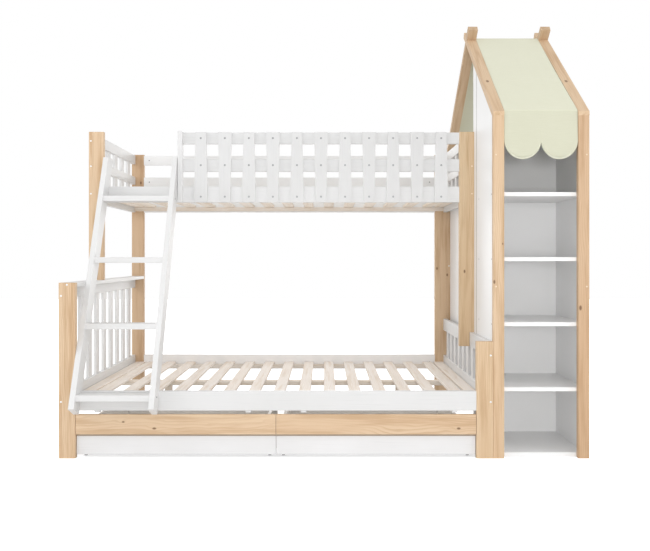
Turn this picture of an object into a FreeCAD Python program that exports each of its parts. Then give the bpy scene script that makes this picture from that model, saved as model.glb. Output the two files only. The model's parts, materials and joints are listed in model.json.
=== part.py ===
"""Bunk bed with a ladder, two rolling drawers and a house-shaped bookcase under a cloth awning.

A 90 x 200 cm bunk stands over a 140 x 200 cm one, level with it at the back. +X runs from the
headboard to the bookcase, +Y from the front to the back and +Z up. The origin is on the floor,
under the middle of the whole object. Lengths are millimetres.
"""
import FreeCAD, Part
import math
import os
import Sketcher

SIZES = {
    "mattress_length": 2000,
    "mattress_end_play": 26,
    "lower_mattress_width": 1400,
    "lower_mattress_play": 20,
    "upper_mattress_width": 900,
    "upper_mattress_play": 30,
    "post_width": 80,
    "post_depth": 32,
    "post_round": 3,
    "board_round": 2.5,
    "slat_bevel": 2,
    "panel_bevel": 1,
    "end_rail_thick": 24,
    "side_rail_setback": 3,
    "lower_rail_bottom": 227,
    "lower_rail_height": 93,
    "upper_rail_bottom": 1256,
    "upper_rail_height": 85,
    "upper_post_rise": 379,
    "headboard_cap_top": 838,
    "headboard_cap_thick": 20,
    "headboard_rail_height": 56,
    "footboard_top": 557,
    "footboard_rail_height": 75,
    "end_slat_width": 60,
    "end_slat_thick": 14,
    "lower_end_slat_margin": 138,
    "lower_end_slat_count": 9,
    "upper_end_slat_margin": 151,
    "upper_end_slat_count": 5,
    "end_top_rail_drop": 5,
    "end_top_rail_height": 58,
    "end_mid_rail_drop": 147,
    "end_mid_rail_height": 50,
    "rail_pad_width": 26,
    "rail_pad_depth": 20,
    "rail_pad_height": 9,
    "rail_pad_post_step": 102,
    "rail_pad_middle_step": 132,
    "ledger_lift": 8,
    "ledger_height": 25,
    "ledger_depth": 25,
    "slat_width": 60,
    "slat_thick": 15,
    "slat_end_step": 74.5,
    "slat_count": 15,
    "slat_end_gap": 3,
    "slat_side_gap": 1,
    "centre_beam_width": 60,
    "centre_leg_width": 38,
    "centre_leg_spacing": 1310,
    "guard_rail_thick": 20,
    "guard_top_rail_drop": 3,
    "guard_top_rail_height": 62,
    "guard_mid_rail_drop": 146,
    "guard_mid_rail_height": 68,
    "guard_stile_width": 26,
    "guard_stile_rise": 3,
    "guard_stile_gap": 1.5,
    "picket_thick": 16,
    "picket_narrow": 57,
    "picket_wide": 74,
    "picket_margin": 99.25,
    "picket_count": 11,
    "back_guard_thick": 20,
    "back_guard_drop": 7,
    "back_guard_height": 62,
    "back_guard_step": 142,
    "ladder_post_gap": 1,
    "ladder_width": 397,
    "ladder_leg_thick": 26,
    "ladder_leg_depth": 90,
    "ladder_seat": 14,
    "ladder_foot": 216,
    "ladder_rise": 156,
    "tread_thick": 29,
    "tread_depth": 80,
    "tread_first": 300,
    "top_tread_drop": 72,
    "tread_count": 4,
    "house_width": 459,
    "house_post_width": 53,
    "house_post_rise": 2,
    "eave_rise": 20,
    "roof_rise": 552.5,
    "rafter_thick": 32,
    "rafter_tail": 77,
    "bookcase_lap": 25,
    "side_panel_thick": 15,
    "back_panel_thick": 12,
    "back_panel_roof_gap": 13,
    "shelf_thick": 19,
    "shelf_foot": 2,
    "shelf_pitch": 313,
    "shelf_count": 5,
    "rear_panel_inset": 20,
    "rear_panel_thick": 10,
    "rear_panel_bottom": 227,
    "rear_panel_drop": 37,
    "house_rail_thick": 22,
    "house_rail_height": 60,
    "house_rail_bottom": 60,
    "awning_thick": 2.5,
    "awning_side_gap": 0.4,
    "awning_rod_radius": 11,
    "awning_rod_gap": 0.3,
    "valance_inset": 6,
    "valance_length": 233,
    "rear_hem_drop": 40,
    "scallop_cut_margin": 10,
    "drawer_post_gap": 2,
    "drawer_seam": 2,
    "drawer_rail_gap": 17,
    "fascia_height": 96,
    "fascia_thick": 18,
    "drawer_front_bottom": 14,
    "drawer_front_drop": 5,
    "drawer_front_thick": 15,
    "drawer_depth": 660,
    "drawer_outer_inset": 75,
    "drawer_inner_inset": 30,
    "drawer_wall_thick": 15,
    "drawer_wall_drop": 20,
    "drawer_floor_bottom": 40,
    "drawer_floor_thick": 8,
    "wheel_radius": 17,
    "wheel_width": 16,
    "wheel_bevel": 2,
    "wheel_side_gap": 0.5,
    "wheel_end_inset": 32,
    "wheel_front_inset": 30,
    "wheel_rear_inset": 62,
    "axle_radius": 3,
    "axle_play": 0.05,
    "fork_thick": 2.5,
    "fork_length": 30,
    "fork_below_axle": 5,
}

FLAWED_STATES = ("Invalid", "Error")
EASINGS = {"Fillet": "Radius", "Chamfer": "Size"}
ALIGNED_SHARE = 0.999
SAME_PLACE = 0.01
PAIR = 2
PLANES = {"x": "YZ_Plane", "y": "XZ_Plane", "z": "XY_Plane"}

doc = FreeCAD.newDocument("bunk_bed")
sheet = doc.addObject("Spreadsheet::Sheet", "Sizes")
sub_parts = []


class Size:
    """A length as its number and as a formula over the cells of the sheet."""

    def __init__(self, value, formula):
        self.value = value
        self.formula = formula

    def __add__(self, other):
        other = as_size(other)
        return Size(self.value + other.value, f"({self.formula} + {other.formula})")

    def __sub__(self, other):
        other = as_size(other)
        return Size(self.value - other.value, f"({self.formula} - {other.formula})")

    def __mul__(self, other):
        other = as_size(other)
        return Size(self.value * other.value, f"({self.formula} * {other.formula})")

    def __truediv__(self, other):
        other = as_size(other)
        return Size(self.value / other.value, f"({self.formula} / {other.formula})")

    def __neg__(self):
        return Size(-self.value, f"(-1 * {self.formula})")

    def __radd__(self, other):
        return as_size(other) + self

    def __rmul__(self, other):
        return as_size(other) * self

    def root(self):
        return Size(math.sqrt(self.value), f"sqrt({self.formula})")


def as_size(number):
    if isinstance(number, Size):
        return number
    return Size(number, str(number))


def fill_sheet():
    for row, (alias, number) in enumerate(SIZES.items(), start=1):
        sheet.set(f"A{row}", str(number))
        sheet.setAlias(f"A{row}", alias)
    doc.recompute()


def cell(alias):
    return Size(SIZES[alias], f"Sizes.{alias}")


def bind(item, name, length):
    item.setExpression(name, as_size(length).formula)


def new_body(label):
    body = doc.addObject("PartDesign::Body", label)
    body.Label = label
    body.AllowCompound = True
    sub_parts.append(body)
    return body


def origin_feature(body, role):
    return next(item for item in body.Origin.OriginFeatures if item.Role == role)


def new_sketch(body, axis, start):
    """A sketch square to an axis of the object, at a distance along it."""
    sketch = body.newObject("Sketcher::SketchObject", f"{body.Label}_sketch")
    sketch.AttachmentSupport = [(origin_feature(body, PLANES[axis]), "")]
    sketch.MapMode = "FlatFace"
    bind(sketch, "AttachmentOffset.Base.z", -as_size(start) if axis == "y" else start)
    return sketch


def pin_point(sketch, line, end, point):
    """Holds one end of a sketch line, or an arc's or circle's centre, at a point."""
    for kind, axis_line, length in (("DistanceX", -2, point[0]), ("DistanceY", -1, point[1])):
        length = as_size(length)
        if length.value == 0:
            sketch.addConstraint(Sketcher.Constraint("PointOnObject", line, end, axis_line))
            continue
        rule = Sketcher.Constraint(kind, -1, 1, line, end, length.value)
        bind(sketch, f"Constraints[{sketch.addConstraint(rule)}]", length)


def flat(point):
    return FreeCAD.Vector(as_size(point[0]).value, as_size(point[1]).value, 0)


def draw_outline(sketch, points):
    """A closed outline of straight lines through the points."""
    first = sketch.GeometryCount
    count = len(points)
    for index, point in enumerate(points):
        sketch.addGeometry(Part.LineSegment(flat(point), flat(points[(index + 1) % count])), False)
    for index, point in enumerate(points):
        after = first + (index + 1) % count
        sketch.addConstraint(Sketcher.Constraint("Coincident", first + index, 2, after, 1))
        pin_point(sketch, first + index, 1, point)


def draw_circle(sketch, centre, radius):
    radius = as_size(radius)
    circle = Part.Circle(flat(centre), FreeCAD.Vector(0, 0, 1), radius.value)
    index = sketch.addGeometry(circle, False)
    pin_point(sketch, index, 3, centre)
    rule = sketch.addConstraint(Sketcher.Constraint("Radius", index, radius.value))
    bind(sketch, f"Constraints[{rule}]", radius)


def rectangle(across, up):
    return [(across[0], up[0]), (across[1], up[0]), (across[1], up[1]), (across[0], up[1])]


def pad(body, axis, sketch, length):
    feature = body.newObject("PartDesign::Pad", f"{body.Label}_pad")
    feature.Profile = sketch
    feature.Reversed = axis == "y"
    bind(feature, "Length", length)
    doc.recompute()
    return feature


def pocket(body, axis, sketch, depth):
    """Cuts a sketch into the body along +axis from the sketch's own plane."""
    before = body.Shape.Volume
    feature = body.newObject("PartDesign::Pocket", f"{body.Label}_pocket")
    feature.Profile = sketch
    feature.Reversed = axis != "y"
    bind(feature, "Length", depth)
    doc.recompute()
    if feature.Shape.Volume >= before:
        raise RuntimeError(f"{feature.Label} cuts nothing")
    return feature


def along(edge, axis):
    """Whether an edge is straight and runs along an axis."""
    ends = edge.Vertexes
    if len(ends) != 2 or edge.Curve.TypeId != "Part::GeomLine":
        return False
    run = ends[1].Point - ends[0].Point
    return abs(getattr(run, axis)) > ALIGNED_SHARE * run.Length


def ease_edges(body, feature, easing, wanted):
    """Rounds or bevels the wanted edges of a body's latest feature."""
    kind, size = easing
    names = [f"Edge{index}" for index, edge in enumerate(feature.Shape.Edges, start=1) if wanted(edge)]
    eased = body.newObject(f"PartDesign::{kind}", f"{body.Label}_edges")
    eased.Base = (feature, names)
    eased.SupportTransform = True
    bind(eased, EASINGS[kind], size)
    doc.recompute()
    return eased


def repeat(body, feature, axis, pitch, count):
    pattern = body.newObject("PartDesign::LinearPattern", f"{body.Label}_row")
    pattern.Originals = [feature]
    pattern.Direction = (origin_feature(body, f"{axis.upper()}_Axis"), [""])
    bind(pattern, "Length", pitch * (count - 1))
    pattern.Occurrences = int(as_size(count).value)
    body.Tip = pattern
    doc.recompute()
    return pattern


def block(body, grain, x, y, z):
    """A board's square prism, drawn as its section and padded along its grain."""
    spans = {"x": (y, z, x), "y": (x, z, y), "z": (x, y, z)}
    across, up, length = spans[grain]
    sketch = new_sketch(body, grain, length[0])
    draw_outline(sketch, rectangle(across, up))
    return pad(body, grain, sketch, length[1] - length[0])


def boards(label, grain, places, easing):
    """One or more separate boards with their long edges eased."""
    body = new_body(label)
    for x, y, z in places:
        feature = block(body, grain, x, y, z)
    ease_edges(body, feature, easing, lambda edge: along(edge, grain))
    return body


def board_row(label, grain, place, easing, axis, pitch, count):
    """A row of equal boards at a pitch."""
    body = new_body(label)
    eased = ease_edges(body, block(body, grain, *place), easing, lambda edge: along(edge, grain))
    repeat(body, eased, axis, pitch, count)
    return body


def shaped_board(label, axis, start, length, outline):
    """A board cut to an outline square to an axis."""
    body = new_body(label)
    sketch = new_sketch(body, axis, start)
    draw_outline(sketch, outline)
    return body, pad(body, axis, sketch, length)


def middle(span):
    return (span[0] + span[1]) / 2


def centred(centre, width):
    return (centre - width / 2, centre + width / 2)


fill_sheet()

# Bed: outer faces and the planes that the pieces share
post_width = cell("post_width")
post_depth = cell("post_depth")
end_thick = cell("end_rail_thick")
bed_length = cell("mattress_length") + cell("mattress_end_play") + 2 * end_thick
bed_depth = cell("lower_mattress_width") + cell("lower_mattress_play") + 2 * post_depth
upper_depth = cell("upper_mattress_width") + cell("upper_mattress_play") + 2 * post_depth
total_length = bed_length + cell("house_width")
rail_bottom = cell("lower_rail_bottom")
rail_top = rail_bottom + cell("lower_rail_height")
high_rail_bottom = cell("upper_rail_bottom")
high_rail_top = high_rail_bottom + cell("upper_rail_height")
high_post_top = high_rail_bottom + cell("upper_post_rise")

# Ladder slope: the legs sit on the front top edges of both front rails
ladder_slope = (bed_depth - upper_depth) / (high_rail_top - rail_top)
ladder_stretch = (1 + ladder_slope * ladder_slope).root()
leg_depth = cell("ladder_leg_depth")
foot_overhang = (
    leg_depth / ladder_stretch
    + (rail_top - cell("ladder_foot")) * ladder_slope
    - cell("ladder_seat")
    - cell("side_rail_setback")
)

left = -total_length / 2
right = left + bed_length
front = (foot_overhang - bed_depth) / 2
back = front + bed_depth
high_front = back - upper_depth
bed_middle = (left + right) / 2
depth_middle = (front + back) / 2

left_post = (left, left + post_width)
right_post = (right - post_width, right)
between_posts = (left_post[1], right_post[0])
front_post = (front, front + post_depth)
high_front_post = (high_front, high_front + post_depth)
back_post = (back - post_depth, back)
left_end = (left, left + end_thick)
right_end = (right - end_thick, right)
between_ends = (left_end[1], right_end[0])
lower_width = (front_post[1], back_post[0])
upper_width = (high_front_post[1], back_post[0])
front_rail = (front + cell("side_rail_setback"), front_post[1])
back_rail = (back_post[0], back - cell("side_rail_setback"))
high_front_rail = (high_front + cell("side_rail_setback"), high_front_post[1])
cap_top = cell("headboard_cap_top")
cap_bottom = cap_top - cell("headboard_cap_thick")
foot_top = cell("footboard_top")
foot_rail_bottom = foot_top - cell("footboard_rail_height")
post_edge = ("Fillet", cell("post_round"))
board_edge = ("Fillet", cell("board_round"))
slat_edge = ("Chamfer", cell("slat_bevel"))
panel_edge = ("Chamfer", cell("panel_bevel"))


def bed_posts():
    """Short front posts, tall back posts and the two front posts of the upper bunk."""
    high = high_post_top
    boards("lower_front_left_post", "z", [(left_post, front_post, (0, cap_top))], post_edge)
    boards("lower_front_right_post", "z", [(right_post, front_post, (0, foot_top))], post_edge)
    boards("back_left_post", "z", [(left_post, back_post, (0, high))], post_edge)
    boards("back_right_post", "z", [(right_post, back_post, (0, high))], post_edge)
    boards("upper_front_left_post", "z", [(left_post, high_front_post, (cap_top, high))], post_edge)
    # The outer strip of this post stands on the footboard's top rail, and the rest laps beside it.
    outline = [
        (right_post[0], foot_rail_bottom),
        (right_end[0], foot_rail_bottom),
        (right_end[0], foot_top),
        (right, foot_top),
        (right, high),
        (right_post[0], high),
    ]
    body, feature = shaped_board("upper_front_right_post", "y", high_front, post_depth, outline)
    ease_edges(body, feature, post_edge, lambda edge: along(edge, "z"))


def side_rails():
    low = (rail_bottom, rail_top)
    high = (high_rail_bottom, high_rail_top)
    boards("lower_front_rail", "x", [(between_posts, front_rail, low)], board_edge)
    boards("lower_back_rail", "x", [(between_posts, back_rail, low)], board_edge)
    boards("upper_front_rail", "x", [(between_posts, high_front_rail, high)], board_edge)
    boards("upper_back_rail", "x", [(between_posts, back_rail, high)], board_edge)


def rail_pads():
    """Four small pads under the lower front rail, over the drawers."""
    depth = centred(middle(front_rail), cell("rail_pad_depth"))
    up = (rail_bottom - cell("rail_pad_height"), rail_bottom)
    body = new_body("rail_pads")
    places = (between_posts[0] + cell("rail_pad_post_step"), bed_middle - cell("rail_pad_middle_step"))
    for place in places:
        width = centred(place, cell("rail_pad_width"))
        spread = 2 * (bed_middle - place)
        repeat(body, block(body, "z", width, depth, up), "x", spread, PAIR)


def slat_beds():
    """Ledgers along the side rails and slats across them, with one more slat at each end."""
    ledgers = []
    beds = (("lower", lower_width, rail_bottom), ("upper", upper_width, high_rail_bottom))
    for name, width, bottom in beds:
        ledger_bottom = bottom + cell("ledger_lift")
        ledger = (ledger_bottom, ledger_bottom + cell("ledger_height"))
        ledgers.append((between_ends, (width[0], width[0] + cell("ledger_depth")), ledger))
        ledgers.append((between_ends, (width[1] - cell("ledger_depth"), width[1]), ledger))
        slats(f"{name}_slats", width, ledger[1])
    boards("slat_ledgers", "x", ledgers, slat_edge)


def slats(label, span, bottom):
    up = (bottom, bottom + cell("slat_thick"))
    reach = (span[0] + cell("slat_side_gap"), span[1] - cell("slat_side_gap"))
    width = cell("slat_width")
    count = cell("slat_count")
    head = between_ends[0] + cell("slat_end_gap") + width / 2
    foot = between_ends[1] - cell("slat_end_gap") - width / 2
    first = head + cell("slat_end_step")
    pitch = (foot - cell("slat_end_step") - first) / (count - 1)
    body = new_body(label)
    repeat(body, block(body, "y", centred(first, width), reach, up), "x", pitch, count)
    block(body, "y", centred(head, width), reach, up)
    feature = block(body, "y", centred(foot, width), reach, up)
    ease_edges(body, feature, slat_edge, lambda edge: along(edge, "y"))


def centre_support():
    ledger_bottom = rail_bottom + cell("ledger_lift")
    ledger = (ledger_bottom, ledger_bottom + cell("ledger_height"))
    beam = centred(depth_middle, cell("centre_beam_width"))
    boards("centre_beam", "x", [(between_ends, beam, ledger)], slat_edge)
    spread = cell("centre_leg_spacing")
    leg = centred(bed_middle - spread / 2, cell("centre_leg_width"))
    place = (leg, centred(depth_middle, cell("centre_leg_width")), (0, ledger[0]))
    board_row("centre_legs", "z", place, slat_edge, "x", spread, PAIR)


def end_slats(body, end, depth, up, margin, count):
    """A row of upright slats set in the middle of an end panel's rails."""
    first = depth[0] + margin
    pitch = (depth[1] - margin - first) / (count - 1)
    slat = block(
        body,
        "z",
        centred(middle(end), cell("end_slat_thick")),
        centred(first, cell("end_slat_width")),
        up,
    )
    repeat(body, slat, "y", pitch, count)


def head_and_foot():
    low_rail = (rail_bottom, rail_top)
    head_rail = (cap_bottom - cell("headboard_rail_height"), cap_bottom)
    foot_rail = (foot_rail_bottom, foot_top)
    margin = cell("lower_end_slat_margin")
    count = cell("lower_end_slat_count")
    boards("headboard_cap", "y", [(left_post, lower_width, (cap_bottom, cap_top))], board_edge)
    for name, end, top_rail in (("headboard", left_end, head_rail), ("footboard", right_end, foot_rail)):
        rails = [(end, lower_width, low_rail), (end, lower_width, top_rail)]
        boards(f"{name}_rails", "y", rails, board_edge)
        end_slats(new_body(f"{name}_slats"), end, lower_width, (rail_top, top_rail[0]), margin, count)


def upper_ends():
    top = high_post_top - cell("end_top_rail_drop")
    mid = high_post_top - cell("end_mid_rail_drop")
    top_rail = (top - cell("end_top_rail_height"), top)
    mid_rail = (mid - cell("end_mid_rail_height"), mid)
    low_rail = (high_rail_bottom, high_rail_top)
    margin = cell("upper_end_slat_margin")
    count = cell("upper_end_slat_count")
    ends = (left_end, right_end)
    rails = [(end, upper_width, up) for end in ends for up in (low_rail, mid_rail, top_rail)]
    boards("upper_end_rails", "y", rails, board_edge)
    body = new_body("upper_end_slats")
    for end in ends:
        for up in ((high_rail_top, mid_rail[0]), (mid_rail[1], top_rail[0])):
            end_slats(body, end, upper_width, up, margin, count)


ladder_left = left_post[1] + cell("ladder_post_gap")
ladder_right = ladder_left + cell("ladder_width")
stile_left = ladder_right + cell("guard_stile_gap")
stile = (stile_left, stile_left + cell("guard_stile_width"))


def guard_rail():
    """Rails behind tapered pickets that turn end for end, with a notched stile at the ladder."""
    face = high_front_rail[0]
    picket = (face - cell("picket_thick"), face)
    rail = (face, face + cell("guard_rail_thick"))
    top = high_post_top - cell("guard_top_rail_drop")
    mid = high_post_top - cell("guard_mid_rail_drop")
    stile_top = high_post_top + cell("guard_stile_rise")
    span = (stile[1], right_post[0])
    rails = [
        (span, rail, (mid - cell("guard_mid_rail_height"), mid)),
        (span, rail, (top - cell("guard_top_rail_height"), top)),
    ]
    boards("guard_rails", "x", rails, board_edge)

    outline = [
        (picket[0], high_rail_bottom),
        (picket[1], high_rail_bottom),
        (picket[1], high_rail_top),
        (rail[1], high_rail_top),
        (rail[1], stile_top),
        (picket[0], stile_top),
    ]
    body, feature = shaped_board("guard_stile", "x", stile[0], cell("guard_stile_width"), outline)
    ease_edges(body, feature, slat_edge, lambda edge: along(edge, "z"))

    first = span[0] + cell("picket_margin")
    pitch = (span[1] - cell("picket_margin") - first) / (cell("picket_count") - 1)
    count = SIZES["picket_count"]
    narrow = cell("picket_narrow")
    wide = cell("picket_wide")
    body = new_body("guard_pickets")
    rows = (
        (first, wide, narrow, count - count // PAIR),
        (first + pitch, narrow, wide, count // PAIR),
    )
    for centre, low_width, top_width, copies in rows:
        low = centred(centre, low_width)
        high = centred(centre, top_width)
        sketch = new_sketch(body, "y", picket[0])
        taper = [(low[0], high_rail_bottom), (low[1], high_rail_bottom), (high[1], top), (high[0], top)]
        draw_outline(sketch, taper)
        repeat(body, pad(body, "y", sketch, cell("picket_thick")), "x", PAIR * pitch, copies)


def back_guard():
    top = high_post_top - cell("back_guard_drop")
    height = cell("back_guard_height")
    rail = (back_rail[0], back_rail[0] + cell("back_guard_thick"))
    low_top = top - cell("back_guard_step")
    rails = [(between_posts, rail, (low_top - height, low_top)), (between_posts, rail, (top - height, top))]
    boards("back_guard_rails", "x", rails, board_edge)


def ladder_back(height):
    """Where the back edge of the ladder's legs is at a height."""
    return front_rail[0] + cell("ladder_seat") + (height - rail_top) * ladder_slope


def ladder_front(height):
    return ladder_back(height) - leg_depth * ladder_stretch


def ladder():
    """Two raked legs, notched over both front rails, and level treads between them."""
    foot = cell("ladder_foot")
    top = high_rail_top + cell("ladder_rise")
    toe = (
        ladder_back(foot) - leg_depth / ladder_stretch,
        foot + leg_depth * ladder_slope / ladder_stretch,
    )
    seat_rise = cell("ladder_seat") / ladder_slope
    outline = [toe, (ladder_back(foot), foot)]
    for face, seat in ((front_rail[0], rail_top), (high_front_rail[0], high_rail_top)):
        outline.append((face, seat - seat_rise))
        outline.append((face, seat))
        outline.append((ladder_back(seat), seat))
    outline.append((ladder_back(top), top))
    outline.append((ladder_front(top), top))
    thick = cell("ladder_leg_thick")
    for name, start in (("ladder_left_leg", ladder_left), ("ladder_right_leg", ladder_right - thick)):
        shaped_board(name, "x", start, thick, outline)

    body = new_body("ladder_treads")
    half = cell("tread_thick") / 2
    centre = cell("tread_first")
    pitch = (high_rail_top - cell("top_tread_drop") - centre) / (cell("tread_count") - 1)
    for _ in range(SIZES["tread_count"]):
        nose = ladder_front(centre + half)
        tread = (nose, nose + cell("tread_depth"))
        between_legs = (ladder_left + thick, ladder_right - thick)
        feature = block(body, "x", between_legs, tread, (centre - half, centre + half))
        centre = centre + pitch
    ease_edges(body, feature, board_edge, lambda edge: along(edge, "x"))


# House: roof lines over the same depth as the bed
house_left = right
house_right = house_left + cell("house_width")
house_left_post = (house_left, house_left + cell("house_post_width"))
house_right_post = (house_right - cell("house_post_width"), house_right)
between_rafters = (house_left_post[1], house_right_post[0])
house_post_top = high_post_top + cell("house_post_rise")
eave_top = house_post_top + cell("eave_rise")
ridge_top = eave_top + cell("roof_rise")
roof_slope = cell("roof_rise") / (depth_middle - front)
roof_stretch = (1 + roof_slope * roof_slope).root()


def under_roof(inward, sink):
    """Height on the front slope, a distance behind the front plane, sunk square to the slope."""
    return eave_top + inward * roof_slope - sink * roof_stretch


def mirrored(outline):
    """An outline on the front slope turned over to the back slope."""
    return [(2 * depth_middle - across, up) for across, up in outline]


def house_posts():
    up = (0, house_post_top)
    sides = (("left", house_left_post), ("right", house_right_post))
    for row, depth in (("front", front_post), ("rear", back_post)):
        for side, width in sides:
            boards(f"house_{row}_{side}_post", "z", [(width, depth, up)], post_edge)


def rafters():
    """Rafters seated on the posts, halved into each other and crossing past the ridge."""
    thick = cell("rafter_thick")
    seat = house_post_top
    plumb_drop = thick * roof_stretch
    seat_length = (seat - eave_top + plumb_drop) / roof_slope
    tail_run = cell("rafter_tail") / roof_stretch
    end_run = thick * roof_slope / roof_stretch
    tail_top = (depth_middle + tail_run, ridge_top + tail_run * roof_slope)
    tail_low = (tail_top[0] + end_run, tail_top[1] - thick / roof_stretch)
    outline = [
        (front, seat),
        (front + seat_length, seat),
        tail_low,
        tail_top,
        (front, eave_top),
    ]
    half_run = plumb_drop / roof_slope / 2
    shoulder = ridge_top - plumb_drop / 2
    lap = [
        (depth_middle, ridge_top),
        (depth_middle - half_run, shoulder),
        (depth_middle, ridge_top - plumb_drop),
        (depth_middle + half_run, shoulder),
    ]
    width = cell("house_post_width")
    starts = (house_left, house_right - width)
    slopes = (("front_rafters", outline, width / 2), ("rear_rafters", mirrored(outline), as_size(0)))
    for name, shape, lap_offset in slopes:
        body = new_body(name)
        for start in starts:
            sketch = new_sketch(body, "x", start)
            draw_outline(sketch, shape)
            pad(body, "x", sketch, width)
        for start in starts:
            sketch = new_sketch(body, "x", start + lap_offset)
            draw_outline(sketch, lap)
            pocket(body, "x", sketch, width / 2)


def bookcase():
    """Side panels cut to the roof, a back panel and shelves in the front part of the house."""
    thick = cell("side_panel_thick")
    rear = high_front + cell("bookcase_lap")
    depth = rear - front
    rafter_thick = cell("rafter_thick")
    outline = [
        (front_post[1], 0),
        (rear, 0),
        (rear, under_roof(depth, rafter_thick)),
        (front_post[1], under_roof(post_depth, rafter_thick)),
    ]
    shaped_board("bookcase_left_panel", "x", house_left, thick, outline)
    shaped_board("bookcase_right_panel", "x", house_right - thick, thick, outline)

    inside = (house_left + thick, house_right - thick)
    back_panel = (rear - cell("back_panel_thick"), rear)
    lift = cell("shelf_foot")
    roof = under_roof(depth - cell("back_panel_thick"), rafter_thick)
    up = (lift, roof - cell("back_panel_roof_gap"))
    boards("bookcase_back_panel", "z", [(inside, back_panel, up)], panel_edge)
    shelf = (inside, (front_post[1], back_panel[0]), (lift, lift + cell("shelf_thick")))
    board_row("bookcase_shelves", "x", shelf, panel_edge, "z", cell("shelf_pitch"), cell("shelf_count"))
    return rear


def house_rear(rear):
    """The open rear part: a panel on the bed's side and plain rails on the other sides."""
    inner = house_left + cell("rear_panel_inset")
    panel = (inner, inner + cell("rear_panel_thick"))
    up = (cell("rear_panel_bottom"), house_post_top - cell("rear_panel_drop"))
    boards("house_rear_panel", "z", [(panel, (rear, back_post[0]), up)], panel_edge)

    thick = cell("house_rail_thick")
    height = cell("house_rail_height")
    low = (cell("house_rail_bottom"), cell("house_rail_bottom") + height)
    high = (house_post_top - height, house_post_top)
    side = (house_right - thick, house_right)
    body = new_body("house_rear_rails")
    block(body, "y", side, (rear, back_post[0]), low)
    block(body, "y", side, (rear, back_post[0]), high)
    feature = block(body, "x", between_rafters, (back - thick, back), low)
    ease_edges(body, feature, slat_edge, lambda edge: along(edge, "x") and edge.Length > height.value)


rod_radius = cell("awning_rod_radius")
awning_thick = cell("awning_thick")
rod_sink = awning_thick + cell("awning_rod_gap") + rod_radius
rod_inset = cell("valance_inset") + awning_thick + cell("awning_rod_gap") + rod_radius


def awning_rods():
    """Round rods under the cloth at both eaves and the ridge."""
    eave = under_roof(rod_inset, rod_sink)
    ridge = ridge_top - rod_sink * roof_stretch
    places = [(front + rod_inset, eave), (depth_middle, ridge), (back - rod_inset, eave)]
    body = new_body("awning_rods")
    sketch = new_sketch(body, "x", between_rafters[0])
    for place in places:
        draw_circle(sketch, place, rod_radius)
    pad(body, "x", sketch, between_rafters[1] - between_rafters[0])


def awning():
    """One strip of cloth, level with the rafters, from the scalloped valance to the rear hem."""
    inset = cell("valance_inset")
    eave_bend = under_roof(inset, as_size(0))
    hem = eave_bend - cell("rear_hem_drop")
    low = eave_bend - cell("valance_length")

    def cloth_line(offset):
        inward = inset + offset
        eave = under_roof(inward, offset)
        ridge = ridge_top - offset * roof_stretch
        return [
            (front + inward, low),
            (front + inward, eave),
            (depth_middle, ridge),
            (back - inward, eave),
            (back - inward, hem),
        ]

    outline = cloth_line(as_size(0)) + cloth_line(awning_thick)[::-1]
    gap = cell("awning_side_gap")
    sides = (between_rafters[0] + gap, between_rafters[1] - gap)
    body, feature = shaped_board("awning", "x", sides[0], sides[1] - sides[0], outline)

    inner_round = rod_radius + cell("awning_rod_gap")
    for offset, radius in ((as_size(0), inner_round + awning_thick), (awning_thick, inner_round)):
        bends = [flat(point) for point in cloth_line(offset)[1:4]]

        def at_bend(edge):
            spot = edge.CenterOfMass
            place = FreeCAD.Vector(spot.y, spot.z, 0)
            return along(edge, "x") and min(place.distanceToPoint(bend) for bend in bends) < SAME_PLACE

        feature = ease_edges(body, feature, ("Fillet", radius), at_bend)

    lobe = (sides[1] - sides[0]) / (2 * PAIR)
    level = low + lobe
    sketch = new_sketch(body, "y", front)
    scallop_cut(sketch, sides, lobe, level)
    pocket(body, "y", sketch, rod_inset)


def scallop_cut(sketch, sides, lobe, level):
    """The cloth that is cut away under two half-round lobes."""
    spare = cell("scallop_cut_margin")
    low = level - lobe - spare
    notch = sides[0] + 2 * lobe
    corners = [
        (sides[0], level),
        (sides[0] - spare, level),
        (sides[0] - spare, low),
        (sides[1] + spare, low),
        (sides[1] + spare, level),
        (sides[1], level),
    ]
    for start, end in zip(corners, corners[1:]):
        sketch.addGeometry(Part.LineSegment(flat(start), flat(end)), False)
    for index, corner in enumerate(corners[:-1]):
        pin_point(sketch, index, 1, corner)
        if index:
            sketch.addConstraint(Sketcher.Constraint("Coincident", index - 1, 2, index, 1))
    last = len(corners) - 2
    pin_point(sketch, last, 2, corners[-1])
    tops = [(sides[0], level), (notch, level), (sides[1], level)]
    for start, end in zip(tops, tops[1:]):
        bottom = ((start[0] + end[0]) / 2, level - lobe)
        sketch.addGeometry(Part.Arc(flat(start), flat(bottom), flat(end)), False)
    first_lobe = last + 1
    second_lobe = last + 2
    for arc, centre in ((first_lobe, sides[0] + lobe), (second_lobe, sides[1] - lobe)):
        pin_point(sketch, arc, 3, (centre, level))
    sketch.addConstraint(Sketcher.Constraint("Coincident", first_lobe, 1, 0, 1))
    sketch.addConstraint(Sketcher.Constraint("Horizontal", first_lobe, 3, first_lobe, 2))
    sketch.addConstraint(Sketcher.Constraint("Horizontal", second_lobe, 3, second_lobe, 1))
    sketch.addConstraint(Sketcher.Constraint("Coincident", second_lobe, 2, last, 2))


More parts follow.
